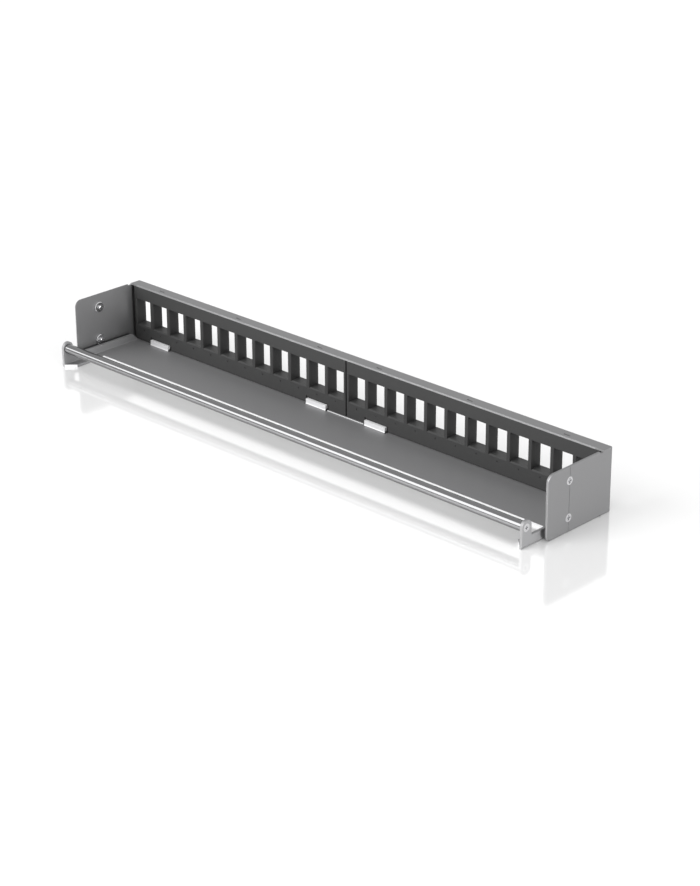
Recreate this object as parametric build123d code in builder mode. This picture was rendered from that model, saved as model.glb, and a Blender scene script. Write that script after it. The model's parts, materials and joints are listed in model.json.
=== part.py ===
from build123d import *
import os

# Keystone patch panel, 24 ports, one rack unit high, with a cable tray and a lacing bar.
# Frame: X along the panel, +Y towards the port side, +Z up. The part rests on its underside.
# The origin is at the middle of the footprint. All sizes are millimetres.

# Folded chassis
chassis_sheet = 1.2
panel_width = 440.0
panel_height = 44.4
plate_depth = 62.0
flange_depth = 8.9
plate_corner_radius = 5.0
chassis_bend_radius = 0.8
flange_relief = 3.4
flange_relief_depth = 1.2
foot_notch_width = 1.4
foot_notch_height = 1.0
foot_notch_from_front = 10.6

# Scribed line and rack ear screws on the side plates
ear_screw_from_back = 21.0
ear_screw_spacing = 24.8
scribe_width = 0.3
scribe_depth = 0.25

# Fasteners
screw_diameter = 3.0
screw_clearance = 0.3
thread_clearance = 0.05
ear_head_diameter = 5.6
ear_screw_tip = 1.4
nut_diameter = 7.8
nut_height = 1.5
bar_head_diameter = 5.6
bar_screw_length = 11.0
head_recess = 0.1
ear_drive_length = 3.6
ear_drive_width = 1.1
bar_drive_length = 2.4
bar_drive_width = 0.8
drive_depth = 0.8

# Folded tray with its arms
tray_sheet = 2.0
tray_side_gap = 3.4
tray_edge_from_back = 14.0
arm_reach = 17.2
tray_wall_height = 7.3
wall_cut = 5.3
arm_flange_width = 6.5
arm_corner_radius = 1.5
tray_bend_radius = 0.6
eye_width = 8.7
eye_height = 18.3
rear_lip_height = 9.0

# Tabs bent up out of the tray, two behind each port module
tab_width = 19.0
tab_height = 5.6
tab_relief = 1.2
tab_cutout_depth = 4.0
tab_bend_radius = 0.8
tab_grip = 0.5
bead_height = 0.6
bead_width = 1.0

# Lacing bar
bar_diameter = 7.0
bar_height = 13.4
bar_from_arm_end = 4.1

# Port modules
ports_per_module = 12
port_pitch = 17.86
port_width = 15.26
port_height = 20.0
port_sill = 14.1
port_front_height = 16.8
module_depth = 7.8
module_end_gap = 1.24
module_end_wall = 1.7
module_top_clearance = 0.1
latch_ledge_depth = 2.4
sill_chamfer = 0.8
nose_border = 1.0
nose_clearance = 0.2
face_step_height = 0.7
face_step_depth = 0.7
pocket_clearance = 1.3
pocket_height = 7.2
lip_clearance = 0.3
dimple_diameter = 1.2
dimple_depth = 0.4
dimple_height = 10.8
partition_notch_height = 1.4
partition_notch_length = 3.0
partition_notch_inset = 1.0

# Latch nibs on the modules and their slots in the top flange
nib_pitches = 4.5
slot_length = 5.0
slot_width = 1.6
slot_from_front = 5.5
nib_clearance = 0.2
nib_below_top = 0.4

# Places worked out from the sizes above
front_y = (plate_depth + arm_reach) / 2
back_y = front_y - plate_depth
arm_y = -front_y
panel_inner_y = front_y - chassis_sheet
plate_inner_x = panel_width / 2 - chassis_sheet
module_face_y = panel_inner_y - module_depth
module_length = ports_per_module * port_pitch - (port_pitch - port_width) + 2 * module_end_wall
module_x = (module_length + module_end_gap) / 2
module_top = panel_height - chassis_sheet - module_top_clearance
module_bottom = tray_sheet
nib_offset = nib_pitches * port_pitch
slot_y = front_y - slot_from_front
latch_places = [side * module_x + step * nib_offset for side in (-1, 1) for step in (-1, 0, 1)]
tab_places = [side * module_x + step * nib_offset for side in (-1, 1) for step in (-1, 1)]
ear_screw_y = back_y + ear_screw_from_back
ear_screw_heights = (
    panel_height / 2 - ear_screw_spacing / 2,
    panel_height / 2 + ear_screw_spacing / 2,
)
wall_outer_x = plate_inner_x - tray_side_gap
wall_inner_x = wall_outer_x - tray_sheet
tray_edge_y = back_y + tray_edge_from_back
eye_y = arm_y + eye_width / 2
eye_z = eye_height - eye_width / 2
bar_y = arm_y + bar_from_arm_end
tab_back_y = module_face_y + tab_grip
tab_front_y = tab_back_y - tray_sheet
tab_foot_y = tab_front_y - tab_bend_radius - 0.1
nose_length = module_length - 2 * (module_end_wall - nose_border)
nose_height = port_front_height + 2 * nose_border
nose_z = port_sill - nose_border + nose_height / 2


def side_name(side):
    return "left" if side < 0 else "right"


def outward(side, x, y, z):
    """Plane at a point, with its normal pointing out through one side of the panel."""
    return Plane(origin=(side * x, y, z), x_dir=(0, side, 0), z_dir=(side, 0, 0))


# Chassis: front panel, top flange and both side plates folded from one sheet
with BuildPart() as chassis:
    with BuildSketch(Plane.XY):
        with Locations((0, front_y - plate_depth / 2)):
            Rectangle(panel_width, plate_depth)
        with Locations((0, panel_inner_y - plate_depth / 2)):
            Rectangle(2 * plate_inner_x, plate_depth, mode=Mode.SUBTRACT)
    extrude(amount=panel_height)
    fillet(chassis.edges().filter_by(Axis.X).group_by(Axis.Y)[0], plate_corner_radius)
    with Locations((0, front_y - flange_depth / 2, panel_height - chassis_sheet / 2)):
        Box(panel_width, flange_depth, chassis_sheet)
    fillet(chassis.edges().filter_by(Axis.Z).group_by(Axis.Y)[-1], chassis_bend_radius)
    front_top = chassis.edges().filter_by(Axis.X).group_by(Axis.Z)[-1].sort_by(Axis.Y)[-1]
    fillet(front_top, chassis_bend_radius)
    # Bend reliefs where the side plates meet the near edge of the top flange
    relief_y = front_y - flange_depth - flange_relief / 2
    with Locations(*[(side * panel_width / 2, relief_y, panel_height) for side in (-1, 1)]):
        Box(3 * chassis_sheet, flange_relief, 2 * flange_relief_depth, mode=Mode.SUBTRACT)
    # Small notch in the lower edge of each side plate
    foot_notch_y = front_y - foot_notch_from_front
    with Locations(*[(side * panel_width / 2, foot_notch_y, 0) for side in (-1, 1)]):
        Box(3 * chassis_sheet, foot_notch_width, 2 * foot_notch_height, mode=Mode.SUBTRACT)
    # One long opening in the front panel for the nose of each module
    with Locations(*[(side * module_x, front_y, nose_z) for side in (-1, 1)]):
        Box(
            nose_length + 2 * nose_clearance,
            3 * chassis_sheet,
            nose_height + 2 * nose_clearance,
            mode=Mode.SUBTRACT,
        )
    with Locations(*[(x, slot_y, panel_height) for x in latch_places]):
        Box(slot_length, slot_width, 3 * chassis_sheet, mode=Mode.SUBTRACT)
    for side in (-1, 1):
        with Locations(*[outward(side, panel_width / 2, ear_screw_y, z) for z in ear_screw_heights]):
            CounterSinkHole(
                radius=(screw_diameter + screw_clearance) / 2,
                counter_sink_radius=ear_head_diameter / 2,
                depth=2 * chassis_sheet,
            )
        with Locations((side * panel_width / 2, ear_screw_y, panel_height / 2)):
            Box(2 * scribe_depth, scribe_width, panel_height, mode=Mode.SUBTRACT)
chassis.part.label = "chassis"


# Tray: floor, low side walls, arms and tabs folded from one thicker sheet
with BuildPart() as tray:
    with BuildSketch(Plane.XY):
        with BuildLine():
            Polyline(
                (-wall_outer_x, panel_inner_y),
                (-wall_outer_x, arm_y),
                (-wall_inner_x, arm_y),
                (-wall_inner_x + arm_flange_width, arm_y + arm_flange_width),
                (-wall_inner_x + arm_flange_width, tray_edge_y),
                (wall_inner_x - arm_flange_width, tray_edge_y),
                (wall_inner_x - arm_flange_width, arm_y + arm_flange_width),
                (wall_inner_x, arm_y),
                (wall_outer_x, arm_y),
                (wall_outer_x, panel_inner_y),
                close=True,
            )
        make_face()
        fillet([v for v in vertices() if abs(v.Y - tray_edge_y) < 0.01], arm_corner_radius)
    extrude(amount=tray_sheet)
    for side in (-1, 1):
        wall_plane = Plane(
            origin=(side * (wall_outer_x + wall_inner_x) / 2, 0, 0),
            x_dir=(0, 1, 0),
            z_dir=(1, 0, 0),
        )
        with BuildSketch(wall_plane):
            with BuildLine():
                Line((arm_y, 0), (arm_y, eye_z))
                ThreePointArc((arm_y, eye_z), (eye_y, eye_height), (arm_y + eye_width, eye_z))
                Polyline(
                    (arm_y + eye_width, eye_z),
                    (arm_y + eye_width, tray_wall_height),
                    (module_face_y - wall_cut, tray_wall_height),
                    (module_face_y, tray_wall_height - wall_cut),
                    (module_face_y, 0),
                    (arm_y, 0),
                )
            make_face()
        extrude(amount=tray_sheet / 2, both=True)
    # Rear lip that is welded to the back of the front panel
    with Locations((0, panel_inner_y - tray_sheet / 2, rear_lip_height / 2)):
        Box(2 * wall_outer_x, tray_sheet, rear_lip_height)
    # Bend radii outside and inside the folds
    fillet(
        tray.edges().filter_by(Axis.Y).filter_by_position(Axis.Z, -0.1, 0.1).filter_by(
            lambda e: abs(abs(e.center().X) - wall_outer_x) < 0.01
        ),
        tray_sheet * 0.9,
    )
    fillet(
        tray.edges().filter_by(Axis.Y).filter_by(
            lambda e: abs(abs(e.center().X) - wall_inner_x) < 0.01
            and abs(e.center().Z - tray_sheet) < 0.01
        ),
        tray_bend_radius,
    )
    # Cutouts in the floor that the tabs were bent up from
    cutout_y = (tab_foot_y + tab_back_y + tab_cutout_depth) / 2
    cutout_length = tab_back_y + tab_cutout_depth - tab_foot_y
    with Locations(*[(x, cutout_y, 0) for x in tab_places]):
        Box(tab_width + 2 * tab_relief, cutout_length, 3 * tray_sheet, mode=Mode.SUBTRACT)
    for x in tab_places:
        with BuildSketch(Plane(origin=(x, 0, 0), x_dir=(0, 1, 0), z_dir=(1, 0, 0))):
            with BuildLine():
                Polyline(
                    (tab_foot_y, 0),
                    (tab_back_y, 0),
                    (tab_back_y, tab_height),
                    (tab_front_y, tab_height),
                    (tab_front_y, tray_sheet),
                    (tab_foot_y, tray_sheet),
                    close=True,
                )
            make_face()
            fillet(vertices().sort_by_distance((tab_front_y, tray_sheet, 0))[0], tab_bend_radius)
            fillet(vertices().sort_by_distance((tab_back_y, 0, 0))[0], tray_sheet * 0.9)
        extrude(amount=tab_width / 2, both=True)
    # Low bead between the two middle tabs
    bead_length = 2 * (min(abs(x) for x in tab_places) - tab_width / 2 - tab_relief)
    with Locations((0, module_face_y - bead_width / 2, tray_sheet + bead_height / 2)):
        Box(bead_length, bead_width, bead_height)
    # Countersunk holes for the bar screws in the round eyes of the arms
    with Locations(*[outward(side, wall_outer_x, bar_y, bar_height) for side in (-1, 1)]):
        CounterSinkHole(
            radius=(screw_diameter + screw_clearance) / 2,
            counter_sink_radius=bar_head_diameter / 2,
            depth=2 * tray_sheet,
        )
tray.part.label = "tray"


def port_places(centre_x):
    """X of each port centre in the module that is centred at centre_x."""
    middle = (ports_per_module - 1) / 2
    return [centre_x + (i - middle) * port_pitch for i in range(ports_per_module)]


def build_module(centre_x):
    """Moulded block of twelve ports, with its nose through the front panel."""
    ports = port_places(centre_x)
    body_height = module_top - module_bottom
    with BuildPart() as module:
        with Locations((centre_x, module_face_y + module_depth / 2, module_bottom + body_height / 2)):
            Box(module_length, module_depth, body_height)
        with Locations((centre_x, front_y - chassis_sheet / 2, nose_z)):
            Box(nose_length, chassis_sheet, nose_height)
        # Ports: a tall recess from the cable side and a lower opening at the front
        recess_depth = module_depth + chassis_sheet - latch_ledge_depth
        recess_y = module_face_y + recess_depth / 2
        with Locations(*[(x, recess_y, port_sill + port_height / 2) for x in ports]):
            Box(port_width, recess_depth, port_height, mode=Mode.SUBTRACT)
        with Locations(*[(x, front_y, port_sill + port_front_height / 2) for x in ports]):
            Box(port_width, 2 * module_depth, port_front_height, mode=Mode.SUBTRACT)
        chamfer(
            module.edges().filter_by(Axis.X).filter_by(
                lambda e: abs(e.center().Y - module_face_y) < 0.01
                and abs(e.center().Z - port_sill) < 0.01
            ),
            sill_chamfer,
        )
        # Notches through the tops of the partitions between neighbouring ports
        notch_y = module_face_y + partition_notch_inset + partition_notch_length / 2
        notch_z = port_sill + port_height - partition_notch_height / 2
        with Locations(*[(x + port_pitch / 2, notch_y, notch_z) for x in ports[:-1]]):
            Box(
                port_pitch - port_width,
                partition_notch_length,
                partition_notch_height,
                mode=Mode.SUBTRACT,
            )
        # Set-back lower edge, pockets for the tray tabs and room for the rear lip of the tray
        with Locations((centre_x, module_face_y, module_bottom)):
            Box(module_length, 2 * face_step_depth, 2 * face_step_height, mode=Mode.SUBTRACT)
        pocket_depth = tab_grip + lip_clearance
        with Locations(*[(centre_x + step * nib_offset, module_face_y, module_bottom) for step in (-1, 1)]):
            Box(
                tab_width + 2 * pocket_clearance,
                2 * pocket_depth,
                2 * (pocket_height - module_bottom),
                mode=Mode.SUBTRACT,
            )
        with Locations((centre_x, panel_inner_y, module_bottom)):
            Box(
                module_length,
                2 * (tray_sheet + lip_clearance),
                2 * (rear_lip_height + lip_clearance - module_bottom),
                mode=Mode.SUBTRACT,
            )
        # Small round dimple under each port
        with Locations(*[Plane(origin=(x, module_face_y, dimple_height), z_dir=(0, -1, 0)) for x in ports]):
            Hole(radius=dimple_diameter / 2, depth=dimple_depth)
        # Latch nibs that snap into the slots of the top flange
        nib_height = panel_height - nib_below_top - module_top
        with Locations(
            *[
                (centre_x + step * nib_offset, slot_y, module_top + nib_height / 2)
                for step in (-1, 0, 1)
            ]
        ):
            Box(slot_length - 2 * nib_clearance, slot_width - 2 * nib_clearance, nib_height)
    return module.part


module_left = build_module(-module_x)
module_left.label = "module_left"
module_right = build_module(module_x)
module_right.label = "module_right"


# Lacing bar: a plain round rod with a tapped hole in each end
bar_bore_depth = bar_screw_length - tray_sheet + 1
with BuildPart() as cable_bar:
    with BuildSketch(Plane(origin=(0, bar_y, bar_height), x_dir=(0, 1, 0), z_dir=(1, 0, 0))):
        Circle(bar_diameter / 2)
    extrude(amount=wall_inner_x, both=True)
    with Locations(*[outward(side, wall_inner_x, bar_y, bar_height) for side in (-1, 1)]):
        Hole(radius=screw_diameter / 2 + thread_clearance, depth=bar_bore_depth)
cable_bar.part.label = "cable_bar"


def cross_shape(plane, length, width):
    """Outline of the cross-shaped driver recess in the face of a screw head."""
    with BuildSketch(plane) as cross:
        Rectangle(length, width)
        Rectangle(width, length)
    return cross.sketch


def build_screw(side, seat, head_diameter, sheet, length, drive_length, drive_width):
    """Countersunk screw, flush in a sheet whose outer face is the plane called seat."""
    top = seat.offset(-head_recess)
    head_depth = min((head_diameter - screw_diameter) / 2, sheet) - head_recess
    with BuildPart() as screw:
        with BuildSketch(top):
            Circle(head_diameter / 2 - head_recess)
        with BuildSketch(top.offset(-head_depth)):
            Circle(screw_diameter / 2)
        loft()
        with BuildSketch(top.offset(-head_depth)):
            Circle(screw_diameter / 2)
        extrude(amount=head_depth + head_recess - length)
        fillet(screw.faces().sort_by(Axis.X)[0 if side > 0 else -1].edges(), screw_diameter / 5)
        extrude(cross_shape(top, drive_length, drive_width), amount=-drive_depth, mode=Mode.SUBTRACT)
    return screw.part


def build_bar_screw(side):
    """Screw through the eye of an arm into the end of the bar."""
    seat = outward(side, wall_outer_x, bar_y, bar_height)
    return build_screw(
        side, seat, bar_head_diameter, tray_sheet, bar_screw_length, bar_drive_length, bar_drive_width
    )


def build_ear_screw(side, z):
    """Screw through a side plate, with its end through the nut inside."""
    seat = outward(side, panel_width / 2, ear_screw_y, z)
    length = chassis_sheet + nut_height + ear_screw_tip
    return build_screw(
        side, seat, ear_head_diameter, chassis_sheet, length, ear_drive_length, ear_drive_width
    )


def build_nut(side, z):
    """Round press-in nut on the inner face of a side plate."""
    plane = outward(side, plate_inner_x, ear_screw_y, z)
    with BuildPart() as nut:
        with BuildSketch(plane):
            Circle(nut_diameter / 2)
            Circle(screw_diameter / 2 + thread_clearance, mode=Mode.SUBTRACT)
        extrude(amount=-nut_height)
        inner_face = nut.faces().sort_by(Axis.X)[0 if side > 0 else -1]
        chamfer(inner_face.outer_wire().edges(), nut_height / 4)
    return nut.part


pieces = [chassis.part, tray.part, module_left, module_right, cable_bar.part]
for side in (-1, 1):
    bar_screw = build_bar_screw(side)
    bar_screw.label = f"bar_screw_{side_name(side)}"
    pieces.append(bar_screw)
    for level, z in zip(("lower", "upper"), ear_screw_heights):
        ear_screw = build_ear_screw(side, z)
        ear_screw.label = f"ear_screw_{side_name(side)}_{level}"
        ear_nut = build_nut(side, z)
        ear_nut.label = f"ear_nut_{side_name(side)}_{level}"
        pieces += [ear_screw, ear_nut]

os.makedirs("parts", exist_ok=True)
for piece in pieces:
    export_step(piece, f"parts/{piece.label}.step")
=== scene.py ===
"""Looks for a rack patch panel: sheet steel, moulded port blocks, a lacing bar and small screws."""

from __future__ import annotations

import json
import logging
import math
from abc import ABC, abstractmethod
from dataclasses import dataclass
from enum import Enum

import bpy
from mathutils import Matrix, Vector

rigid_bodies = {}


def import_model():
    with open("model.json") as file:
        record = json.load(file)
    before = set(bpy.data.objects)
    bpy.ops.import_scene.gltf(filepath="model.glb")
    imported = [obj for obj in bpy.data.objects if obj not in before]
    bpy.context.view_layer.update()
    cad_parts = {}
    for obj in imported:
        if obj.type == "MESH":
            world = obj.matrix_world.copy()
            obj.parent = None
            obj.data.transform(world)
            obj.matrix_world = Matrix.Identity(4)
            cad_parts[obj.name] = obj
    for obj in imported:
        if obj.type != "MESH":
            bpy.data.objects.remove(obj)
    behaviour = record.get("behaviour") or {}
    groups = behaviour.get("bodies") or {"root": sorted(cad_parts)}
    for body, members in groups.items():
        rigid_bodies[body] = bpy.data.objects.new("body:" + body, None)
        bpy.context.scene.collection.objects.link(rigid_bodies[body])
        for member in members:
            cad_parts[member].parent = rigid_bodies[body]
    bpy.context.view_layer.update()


LOG = logging.getLogger("panel")
MM = 0.001
WHITE = (1.0, 1.0, 1.0, 1.0)

# Sockets of Blender's Mix node when it mixes colours
MIX_FACTOR, MIX_FIRST, MIX_SECOND, MIX_RESULT = 0, 6, 7, 2

# Noise of the fine grain and of the broad change of tone, and how strongly the grain bumps
GRAIN_DETAIL = 3.0
GRAIN_GAIN = 0.6
GRAIN_BUMP = 0.25
VARIATION_DETAIL = 2.0
NOISE_MIDDLE = 0.5

# Painted highlight on faces that look along -Y: the Y of the normal where its mask starts and where
# it is full, half the clear length between the arms in metres, and the share of the painted
# highlight left beyond it
HIGHLIGHT_MASK_START = -0.35
HIGHLIGHT_MASK_FULL = -0.65
HALF_LENGTH = 0.2133
TONE_BEYOND_ENDS = 0.15

# Height in metres that no part reaches, for sheets with no painted highlight on their tops
OUT_OF_REACH = 1.0

SIDES = ("left", "right")

NodeSocket = bpy.types.NodeSocket
Colour = tuple[float, float, float]


class BrushAxis(Enum):
    """Scale of the grain along X, Y and Z: it runs along X, or the same way everywhere."""

    ALONG = (1.0, 22.0, 22.0)
    NONE = (6.0, 6.0, 6.0)


class NodeGraph:
    """Small helper that adds nodes to one material or node group."""

    def __init__(self, tree: bpy.types.NodeTree) -> None:
        """Keeps the tree that the nodes go into.

        Args:
            tree: The nodes of a material, a world or a node group.
        """
        self.tree = tree

    def add(self, kind: str, **values: object) -> bpy.types.Node:
        """Adds a node and sets its properties.

        Args:
            kind: Blender's identifier of the node.
            **values: Properties of the node.

        Returns:
            The new node.
        """
        node = self.tree.nodes.new(kind)
        for name, value in values.items():
            setattr(node, name, value)
        return node

    def link(self, source: NodeSocket, target: NodeSocket) -> None:
        """Joins two sockets.

        Args:
            source: Output that the value comes from.
            target: Input that it goes to.
        """
        self.tree.links.new(source, target)

    def maths(self, operation: str, a: NodeSocket | float, b: NodeSocket | float) -> NodeSocket:
        """Adds a maths node with two inputs.

        Args:
            operation: Name of the operation.
            a: First input, a socket or a number.
            b: Second input, a socket or a number.

        Returns:
            The node's output.
        """
        node = self.add("ShaderNodeMath", operation=operation)
        for socket, value in zip(node.inputs, (a, b)):
            if isinstance(value, (int, float)):
                socket.default_value = value
            else:
                self.link(value, socket)
        return node.outputs[0]


def group_sockets(
    name: str, inputs: dict[str, float], outputs: tuple[str, ...]
) -> bpy.types.NodeTree:
    """Makes an empty shader node group with number inputs and outputs.

    Args:
        name: Name of the group.
        inputs: Input names with their usual values.
        outputs: Output names.

    Returns:
        The group, with its input and output nodes.
    """
    tree = bpy.data.node_groups.new(name, "ShaderNodeTree")
    for label, value in inputs.items():
        socket = tree.interface.new_socket(label, in_out="INPUT", socket_type="NodeSocketFloat")
        socket.default_value = value
    for label in outputs:
        tree.interface.new_socket(label, in_out="OUTPUT", socket_type="NodeSocketFloat")
    tree.nodes.new("NodeGroupInput").name = "in"
    tree.nodes.new("NodeGroupOutput").name = "out"
    return tree


class Effects:
    """Shader node groups that several materials share, and the materials made with them."""

    def __init__(self) -> None:
        """Builds each group once."""
        self.materials: dict[str, bpy.types.Material] = {}
        self.grain = self._build_grain()
        self.soft_variation = self._build_variation()
        self.painted_highlight_mask = self._build_painted_highlight_mask()

    def _build_grain(self) -> bpy.types.NodeTree:
        """Fine surface grain, stretched along one direction.

        Returns:
            A group with the inputs Scale, Stretch X, Stretch Y and Stretch Z and the output Height.
        """
        inputs = {"Scale": 900.0, "Stretch X": 1.0, "Stretch Y": 1.0, "Stretch Z": 1.0}
        tree = group_sockets("fine_grain", inputs, ("Height",))
        graph = NodeGraph(tree)
        source = tree.nodes["in"]
        place = graph.add("ShaderNodeTexCoord")
        stretch = graph.add("ShaderNodeCombineXYZ")
        for axis in "XYZ":
            graph.link(source.outputs[f"Stretch {axis}"], stretch.inputs[axis])
        scaled = graph.add("ShaderNodeVectorMath", operation="MULTIPLY")
        graph.link(place.outputs["Object"], scaled.inputs[0])
        graph.link(stretch.outputs[0], scaled.inputs[1])
        noise = graph.add("ShaderNodeTexNoise")
        noise.inputs["Detail"].default_value = GRAIN_DETAIL
        noise.inputs["Roughness"].default_value = GRAIN_GAIN
        graph.link(scaled.outputs[0], noise.inputs["Vector"])
        graph.link(source.outputs["Scale"], noise.inputs["Scale"])
        graph.link(noise.outputs["Fac"], tree.nodes["out"].inputs["Height"])
        return tree

    def _build_variation(self) -> bpy.types.NodeTree:
        """Broad, faint change of tone over a surface.

        Returns:
            A group with the inputs Scale and Amount and the output Factor, which stays around 1.
        """
        tree = group_sockets("soft_variation", {"Scale": 18.0, "Amount": 0.05}, ("Factor",))
        graph = NodeGraph(tree)
        source = tree.nodes["in"]
        place = graph.add("ShaderNodeTexCoord")
        noise = graph.add("ShaderNodeTexNoise")
        noise.inputs["Detail"].default_value = VARIATION_DETAIL
        graph.link(place.outputs["Object"], noise.inputs["Vector"])
        graph.link(source.outputs["Scale"], noise.inputs["Scale"])
        centred = graph.maths("SUBTRACT", noise.outputs["Fac"], NOISE_MIDDLE)
        spread = graph.maths("MULTIPLY", centred, source.outputs["Amount"])
        factor = graph.maths("ADD", spread, 1.0)
        graph.link(factor, tree.nodes["out"].inputs["Factor"])
        return tree

    def _build_painted_highlight_mask(self) -> bpy.types.NodeTree:
        """Mask of a painted highlight on a folded sheet.

        Faces that look along -Y are marked, and so are the tops of the tabs, the faces above
        From Height that are within Half Length of the middle. The paler colour put on them is a
        painted highlight, and beyond Half Length it is weaker.

        Returns:
            A group with the inputs From Height and Half Length, in metres, and two outputs: the
            first marks all these faces, the second is the painted highlight, weaker beyond Half
            Length.
        """
        inputs = {"From Height": OUT_OF_REACH, "Half Length": HALF_LENGTH}
        tree = group_sockets("painted_highlight_mask", inputs, ("Front And Tops", "Painted Highlight"))
        graph = NodeGraph(tree)
        source = tree.nodes["in"]
        place = graph.add("ShaderNodeTexCoord")
        normal = graph.add("ShaderNodeSeparateXYZ")
        graph.link(place.outputs["Normal"], normal.inputs[0])
        point = graph.add("ShaderNodeSeparateXYZ")
        graph.link(place.outputs["Object"], point.inputs[0])
        near = graph.add("ShaderNodeMapRange", interpolation_type="SMOOTHSTEP")
        near.inputs["From Min"].default_value = HIGHLIGHT_MASK_START
        near.inputs["From Max"].default_value = HIGHLIGHT_MASK_FULL
        graph.link(normal.outputs["Y"], near.inputs["Value"])
        sideways = graph.maths("ABSOLUTE", point.outputs["X"], 0.0)
        between = graph.maths("LESS_THAN", sideways, source.outputs["Half Length"])
        high = graph.maths("GREATER_THAN", point.outputs["Z"], source.outputs["From Height"])
        tops = graph.maths("MULTIPLY", between, high)
        # faces that look along -Y and the high faces between the arms get the painted highlight
        front_and_tops = graph.maths("MAXIMUM", near.outputs["Result"], tops)
        tone = graph.maths("MAXIMUM", between, TONE_BEYOND_ENDS)
        graph.link(front_and_tops, tree.nodes["out"].inputs["Front And Tops"])
        graph.link(graph.maths("MULTIPLY", front_and_tops, tone), tree.nodes["out"].inputs["Painted Highlight"])
        return tree


@dataclass(frozen=True)
class Finish:
    """What one material looks like.

    The grain's depth is in millimetres. The last four values count only where a highlight colour is
    set:
    they are for the faces that look along -Y, and for all faces higher than the given height, in
    metres, and that colour is a painted highlight.
    """

    name: str
    colour: Colour
    metallic: float
    roughness: float
    brush: BrushAxis = BrushAxis.NONE
    grain_scale: float = 900.0
    grain_depth: float = 0.02
    grain_roughness: float = 0.06
    variation: float = 0.05
    variation_scale: float = 18.0
    specular: float = 0.5
    # painted highlight: a paler colour on faces that look along -Y and on faces above a height
    painted_highlight_colour: Colour | None = None
    highlight_tops_height: float = OUT_OF_REACH
    highlight_roughness: float = 0.34
    highlight_metallic: float = 0.10

    def material(self, effects: Effects) -> bpy.types.Material:
        """Builds the material.

        Args:
            effects: The shared node groups.

        Returns:
            A material with its tone, roughness and bump from the shared groups.
        """
        material = bpy.data.materials.new(self.name)
        material.use_nodes = True
        graph = NodeGraph(material.node_tree)
        shader = material.node_tree.nodes["Principled BSDF"]
        shader.inputs["Metallic"].default_value = self.metallic
        shader.inputs["Specular IOR Level"].default_value = self.specular
        grain = graph.add("ShaderNodeGroup", node_tree=effects.grain)
        grain.inputs["Scale"].default_value = self.grain_scale
        for axis, value in zip("XYZ", self.brush.value):
            grain.inputs[f"Stretch {axis}"].default_value = value
        tone = graph.add("ShaderNodeGroup", node_tree=effects.soft_variation)
        tone.inputs["Scale"].default_value = self.variation_scale
        tone.inputs["Amount"].default_value = self.variation
        base = graph.add("ShaderNodeVectorMath", operation="SCALE")
        base.inputs[0].default_value = self.colour
        graph.link(tone.outputs["Factor"], base.inputs["Scale"])
        colour = base.outputs[0]
        centred = graph.maths("SUBTRACT", grain.outputs["Height"], NOISE_MIDDLE)
        spread = graph.maths("MULTIPLY", centred, self.grain_roughness)
        roughness = graph.maths("ADD", spread, self.roughness)
        # paints a highlight on the faces that look along -Y and on the high faces
        if self.painted_highlight_colour is not None:
            colour, roughness, metallic = self._with_painted_highlight(graph, effects, colour, roughness)
            graph.link(metallic, shader.inputs["Metallic"])
        graph.link(colour, shader.inputs["Base Color"])
        graph.link(roughness, shader.inputs["Roughness"])
        bump = graph.add("ShaderNodeBump")
        bump.inputs["Strength"].default_value = GRAIN_BUMP
        bump.inputs["Distance"].default_value = self.grain_depth * MM
        graph.link(grain.outputs["Height"], bump.inputs["Height"])
        graph.link(bump.outputs["Normal"], shader.inputs["Normal"])
        return material

    def _with_painted_highlight(
        self, graph: NodeGraph, effects: Effects, colour: NodeSocket, roughness: NodeSocket
    ) -> tuple[NodeSocket, NodeSocket, NodeSocket]:
        """Paints a highlight on the -Y faces and high faces, and makes them smoother and less
        mirror-like.

        Args:
            graph: The material's nodes.
            effects: The shared node groups.
            colour: The base colour.
            roughness: The roughness.

        Returns:
            The base colour with the painted highlight, the roughness and the metallic value.
        """
        highlight_mask = graph.add("ShaderNodeGroup", node_tree=effects.painted_highlight_mask)
        highlight_mask.inputs["From Height"].default_value = self.highlight_tops_height
        mix = graph.add("ShaderNodeMix", data_type="RGBA")
        graph.link(highlight_mask.outputs["Painted Highlight"], mix.inputs[MIX_FACTOR])
        graph.link(colour, mix.inputs[MIX_FIRST])
        mix.inputs[MIX_SECOND].default_value = (*self.painted_highlight_colour, 1.0)
        front_and_tops = highlight_mask.outputs["Front And Tops"]
        smoother = graph.maths("MULTIPLY", front_and_tops, self.roughness - self.highlight_roughness)
        duller = graph.maths("MULTIPLY", front_and_tops, self.highlight_metallic - self.metallic)
        return (
            mix.outputs[MIX_RESULT],
            graph.maths("SUBTRACT", roughness, smoother),
            graph.maths("ADD", duller, self.metallic),
        )


SHEET = Finish(
    "satin_chassis_sheet",
    colour=(0.218, 0.218, 0.221),
    metallic=0.85,
    roughness=0.46,
    brush=BrushAxis.ALONG,
    grain_depth=0.006,
    grain_roughness=0.03,
    variation=0.03,
    # paler colour on the faces that look along -Y: a painted highlight
    painted_highlight_colour=(0.36, 0.36, 0.365),
)
TRAY_SHEET = Finish(
    "satin_tray_sheet",
    colour=(0.238, 0.238, 0.242),
    metallic=0.4,
    roughness=0.50,
    brush=BrushAxis.ALONG,
    grain_depth=0.006,
    grain_roughness=0.03,
    variation=0.03,
    # paler colour on the faces that look along -Y and on the tab tops above 3.2 mm: a painted
    # highlight
    painted_highlight_colour=(0.88, 0.88, 0.89),
    highlight_tops_height=0.0032,
)
PLASTIC = Finish(
    "moulded_plastic",
    colour=(0.057, 0.057, 0.057),
    metallic=0.0,
    roughness=0.45,
    grain_scale=2500.0,
    specular=0.15,
)
BAR = Finish(
    "polished_bar",
    colour=(0.185, 0.185, 0.188),
    metallic=1.0,
    roughness=0.09,
    brush=BrushAxis.ALONG,
    grain_depth=0.001,
    grain_roughness=0.02,
)
FASTENER = Finish(
    "plated_fastener",
    colour=(0.62, 0.62, 0.63),
    metallic=1.0,
    roughness=0.20,
    grain_depth=0.002,
)


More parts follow.
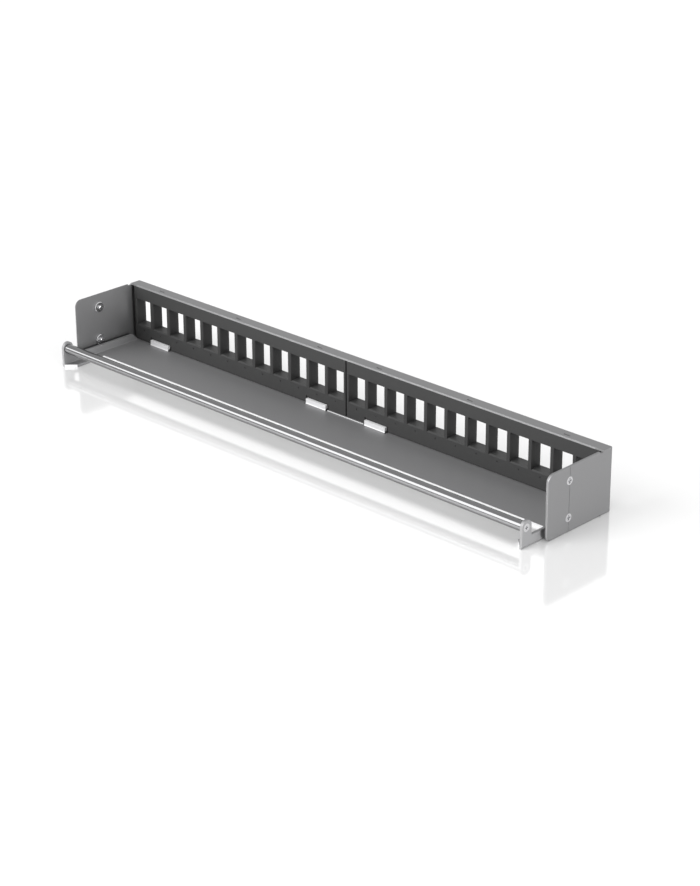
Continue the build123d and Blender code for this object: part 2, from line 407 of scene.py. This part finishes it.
@dataclass(frozen=True)
class PhotoCamera:
    """Camera that stands where the photo was taken from.

    The target, the distance and the sensor's width are in millimetres, the angles in degrees,
    the focal length and the image's width in pixels and the clip range in metres.
    """

    target: tuple[float, float, float] = (30.728, 2.542, 1.113)
    azimuth: float = 44.219
    elevation: float = 23.677
    roll: float = -0.271
    distance: float = 1564.777
    focal_pixels: float = 2361.200
    image_width: float = 700.0
    sensor: float = 36.0
    clip_range: tuple[float, float] = (0.01, 50.0)

    def build(self) -> bpy.types.Object:
        """Makes the camera and puts it to use.

        Returns:
            The camera.
        """
        a, e, r = (math.radians(v) for v in (self.azimuth, self.elevation, self.roll))
        back = Vector((math.sin(a) * math.cos(e), -math.cos(a) * math.cos(e), math.sin(e)))
        right = (-back).cross(Vector((0.0, 0.0, 1.0))).normalized()
        up = right.cross(-back)
        turned_right = math.cos(r) * right + math.sin(r) * up
        turned_up = -math.sin(r) * right + math.cos(r) * up
        place = Vector(self.target) * MM + back * self.distance * MM
        data = bpy.data.cameras.new("photo_camera")
        data.sensor_fit = "HORIZONTAL"
        data.sensor_width = self.sensor
        data.lens = self.focal_pixels * self.sensor / self.image_width
        data.clip_start, data.clip_end = self.clip_range
        camera = bpy.data.objects.new("photo_camera", data)
        turn = Matrix((turned_right, turned_up, back)).transposed().to_4x4()
        camera.matrix_world = Matrix.Translation(place) @ turn
        bpy.context.scene.collection.objects.link(camera)
        bpy.context.scene.camera = camera
        return camera


@dataclass(frozen=True)
class SoftSun:
    """One even studio light, so far away that it doesn't fall off; all angles are in degrees."""

    name: str
    azimuth: float
    elevation: float
    spread: float
    strength: float

    def build(self) -> bpy.types.Object:
        """Makes the light, shining from its azimuth and elevation to the origin.

        Returns:
            The light.
        """
        a, e = math.radians(self.azimuth), math.radians(self.elevation)
        towards = Vector((math.sin(a) * math.cos(e), -math.cos(a) * math.cos(e), math.sin(e)))
        data = bpy.data.lights.new(self.name, "SUN")
        data.angle = math.radians(self.spread)
        data.energy = self.strength
        lamp = bpy.data.objects.new(self.name, data)
        lamp.rotation_euler = towards.to_track_quat("Z", "Y").to_euler()
        bpy.context.scene.collection.objects.link(lamp)
        return lamp


@dataclass(frozen=True)
class Studio:
    """Pale floor, pale surroundings and three lights.

    The floor's size is in metres, and its index of refraction sets how much it mirrors. The
    surround is the strength of the world's light on matt surfaces.
    """

    floor_size: float = 12.0
    floor_tone: float = 0.97
    floor_roughness: float = 0.10
    floor_ior: float = 3.6
    surround: float = 0.60
    lights: tuple[SoftSun, ...] = (
        SoftSun("key_light", azimuth=-32.0, elevation=28.0, spread=42.0, strength=1.75),
        SoftSun("side_light", azimuth=90.0, elevation=3.5, spread=12.0, strength=3.8),
        SoftSun("top_light", azimuth=0.0, elevation=72.0, spread=50.0, strength=0.70),
    )

    def build(self) -> None:
        """Makes the floor, the world and the lights."""
        self._build_floor()
        self._build_world()
        for light in self.lights:
            light.build()

    def _build_floor(self) -> None:
        """Lays a plain pale floor under the panel."""
        mesh = bpy.data.meshes.new("floor")
        half = self.floor_size / 2
        corners = [(-half, -half, 0.0), (half, -half, 0.0), (half, half, 0.0), (-half, half, 0.0)]
        mesh.from_pydata(corners, [], [(0, 1, 2, 3)])
        floor = bpy.data.objects.new("floor", mesh)
        bpy.context.scene.collection.objects.link(floor)
        material = bpy.data.materials.new("floor")
        material.use_nodes = True
        shader = material.node_tree.nodes["Principled BSDF"]
        shader.inputs["Base Color"].default_value = (self.floor_tone,) * 3 + (1.0,)
        shader.inputs["Roughness"].default_value = self.floor_roughness
        shader.inputs["IOR"].default_value = self.floor_ior
        mesh.materials.append(material)

    def _build_world(self) -> None:
        """Sets an even pale surround that the camera and the reflections see as white."""
        world = bpy.data.worlds.new("surround")
        world.use_nodes = True
        graph = NodeGraph(world.node_tree)
        background = world.node_tree.nodes["Background"]
        background.inputs["Color"].default_value = WHITE
        rays = graph.add("ShaderNodeLightPath")
        seen = graph.maths("MAXIMUM", rays.outputs["Is Camera Ray"], rays.outputs["Is Glossy Ray"])
        extra = graph.maths("MULTIPLY", seen, 1.0 - self.surround)
        graph.link(graph.maths("ADD", extra, self.surround), background.inputs["Strength"])
        bpy.context.scene.world = world


class Assembly(ABC):
    """Packed parts that are dressed together."""

    @abstractmethod
    def finishes(self) -> dict[str, Finish]:
        """Says what each part looks like.

        Returns:
            Part names with their finishes.
        """

    def dress(self, effects: Effects) -> list[str]:
        """Gives each part its finish.

        Args:
            effects: The shared node groups and the materials made so far.

        Returns:
            The names of the parts.
        """
        made = effects.materials
        finishes = self.finishes()
        for name, finish in finishes.items():
            if finish.name not in made:
                made[finish.name] = finish.material(effects)
            part = bpy.data.objects[name]
            if not part.material_slots:
                part.data.materials.append(made[finish.name])
            for slot in part.material_slots:
                slot.material = made[finish.name]
        return list(finishes)


class SheetMetal(Assembly):
    """Folded sheet parts: the chassis and the tray."""

    def finishes(self) -> dict[str, Finish]:
        """Says what each sheet part looks like.

        Returns:
            Part names with their finishes.
        """
        return {"chassis": SHEET, "tray": TRAY_SHEET}


class PortBlocks(Assembly):
    """The two moulded blocks of keystone ports."""

    def finishes(self) -> dict[str, Finish]:
        """Says what both blocks look like.

        Returns:
            Part names with their finishes.
        """
        return {f"module_{side}": PLASTIC for side in SIDES}


class LacingBar(Assembly):
    """The round bar and the screws that hold it."""

    def finishes(self) -> dict[str, Finish]:
        """Says what the bar and its screws look like.

        Returns:
            Part names with their finishes.
        """
        return {"cable_bar": BAR} | {f"bar_screw_{side}": FASTENER for side in SIDES}


class EarFasteners(Assembly):
    """Screws and press-in nuts in the side plates."""

    def finishes(self) -> dict[str, Finish]:
        """Says what the screws and the nuts look like.

        Returns:
            Part names with their finishes.
        """
        return {
            f"ear_{kind}_{side}_{level}": FASTENER
            for kind in ("screw", "nut")
            for side in SIDES
            for level in ("lower", "upper")
        }


def main() -> None:
    """Builds the camera, the studio and the finishes of all parts."""
    logging.basicConfig(level=logging.INFO, format="%(message)s")
    bpy.context.scene.view_settings.view_transform = "Standard"
    PhotoCamera().build()
    Studio().build()
    effects = Effects()
    for assembly in (SheetMetal(), PortBlocks(), LacingBar(), EarFasteners()):
        for name in assembly.dress(effects):
            LOG.info("%s: dressed %s", type(assembly).__name__, name)


if __name__ == "__main__":
    for old in list(bpy.data.objects):
        bpy.data.objects.remove(old)
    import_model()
    main()
